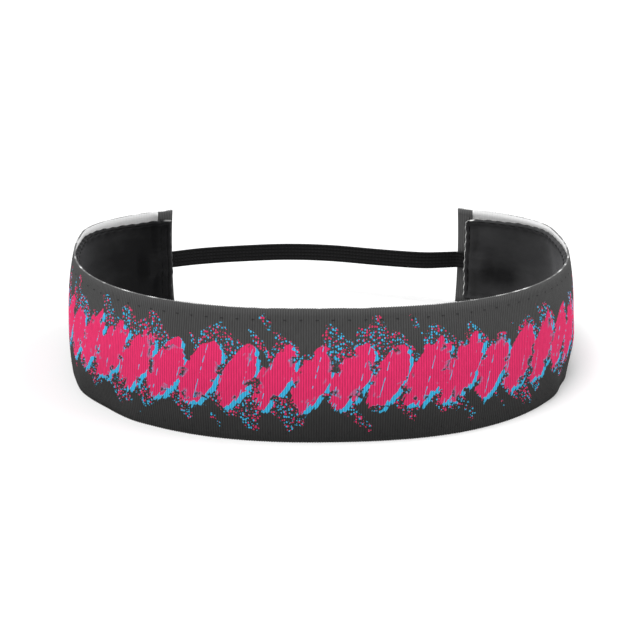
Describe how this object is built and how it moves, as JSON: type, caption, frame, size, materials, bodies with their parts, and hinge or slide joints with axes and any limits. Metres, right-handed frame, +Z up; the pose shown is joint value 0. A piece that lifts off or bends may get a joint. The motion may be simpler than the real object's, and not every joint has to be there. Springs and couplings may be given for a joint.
{
  "type": "headband",
  "caption": "Sports headband of wide ribbon with a soft inner liner, closed at the back by a narrow flat elastic.",
  "frame": {"origin": "on the surface the band stands on, under the middle of the whole band", "axes": "+Z up across the ribbon's width, -Y towards the front of the band, +X towards the wearer's left"},
  "size_m": [0.169, 0.1272, 0.038],
  "materials": {
    "ribbon": "matt woven polyester grosgrain, printed outer face",
    "liner": "short-pile velvet",
    "elastic": "flat braid",
    "thread": "polyester sewing thread"
  },
  "bodies": {
    "left_half": {"ribbon_left_half": "ribbon", "liner_left_half": "liner", "elastic_left_end": "elastic", "elastic_tack_left": "thread", "top_seam_needle_thread_left": "thread", "bottom_seam_needle_thread_left": "thread", "end_seam_needle_thread_left": "thread", "top_seam_bobbin_thread_left": "thread", "bottom_seam_bobbin_thread_left": "thread", "end_seam_bobbin_thread_left": "thread"},
    "right_half": {"ribbon_right_half": "ribbon", "liner_right_half": "liner", "elastic_right_end": "elastic", "elastic_tack_right": "thread", "top_seam_needle_thread_right": "thread", "bottom_seam_needle_thread_right": "thread", "end_seam_needle_thread_right": "thread", "top_seam_bobbin_thread_right": "thread", "bottom_seam_bobbin_thread_right": "thread", "end_seam_bobbin_thread_right": "thread"},
    "elastic_strap": {"elastic_middle": "elastic"}
  },
  "joints": [
    {"name": "band_flex", "type": "hinge", "parent": "left_half", "child": "right_half", "pos_m": [0, -0.0638, 0.019], "axis": [0, 0, -1], "range_deg": [0, 30], "stiffness_Nm_per_rad": 0.6},
    {"name": "elastic_stretch", "type": "hinge", "parent": "left_half", "child": "elastic_strap", "pos_m": [0, -0.0638, 0.019], "axis": [0, 0, -1], "range_deg": [0, 15]}
  ],
  "couplings": [
    {"joint": "elastic_stretch", "follows": "band_flex", "ratio": 0.5}
  ]
}
